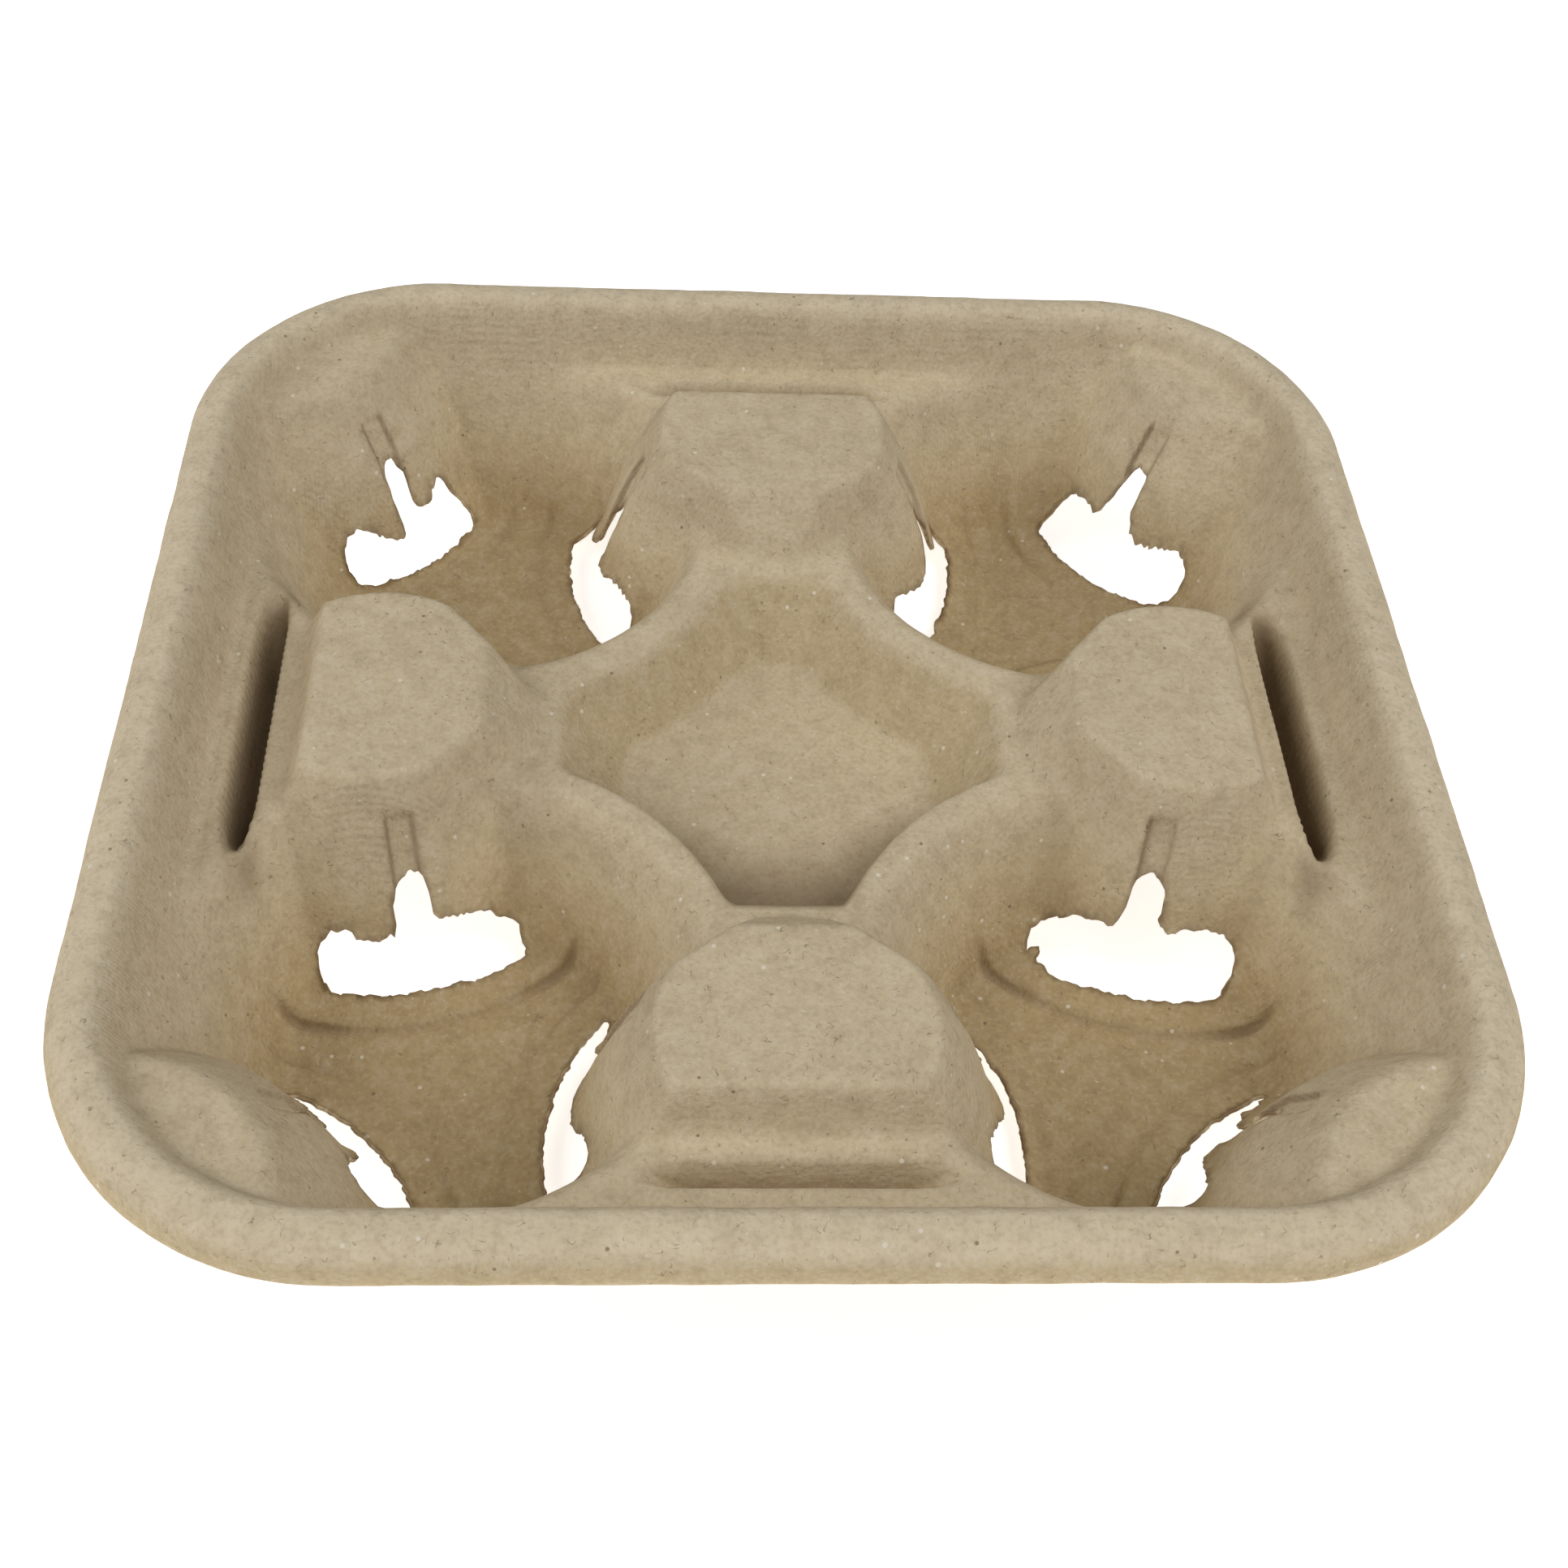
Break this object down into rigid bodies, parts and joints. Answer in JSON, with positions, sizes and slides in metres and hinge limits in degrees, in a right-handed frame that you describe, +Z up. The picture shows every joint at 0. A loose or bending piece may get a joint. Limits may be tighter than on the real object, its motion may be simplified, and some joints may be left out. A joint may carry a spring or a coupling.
{
  "type": "moulded pulp cup carrier",
  "caption": "Square moulded paper pulp tray with conical cup wells between hollow columns, slit flaps that grip the cups, a centre pocket and a rolled rim.",
  "frame": {"origin": "centre of the tray at the height of its base", "axes": "+Z up out of the cup wells, +X and +Y through the columns in the middles of two sides"},
  "size_m": [0.21, 0.21, 0.0422],
  "materials": {
    "pulp": "matte moulded fibre"
  },
  "bodies": {
    "root": {"carrier_tray": "pulp"}
  },
  "joints": []
}
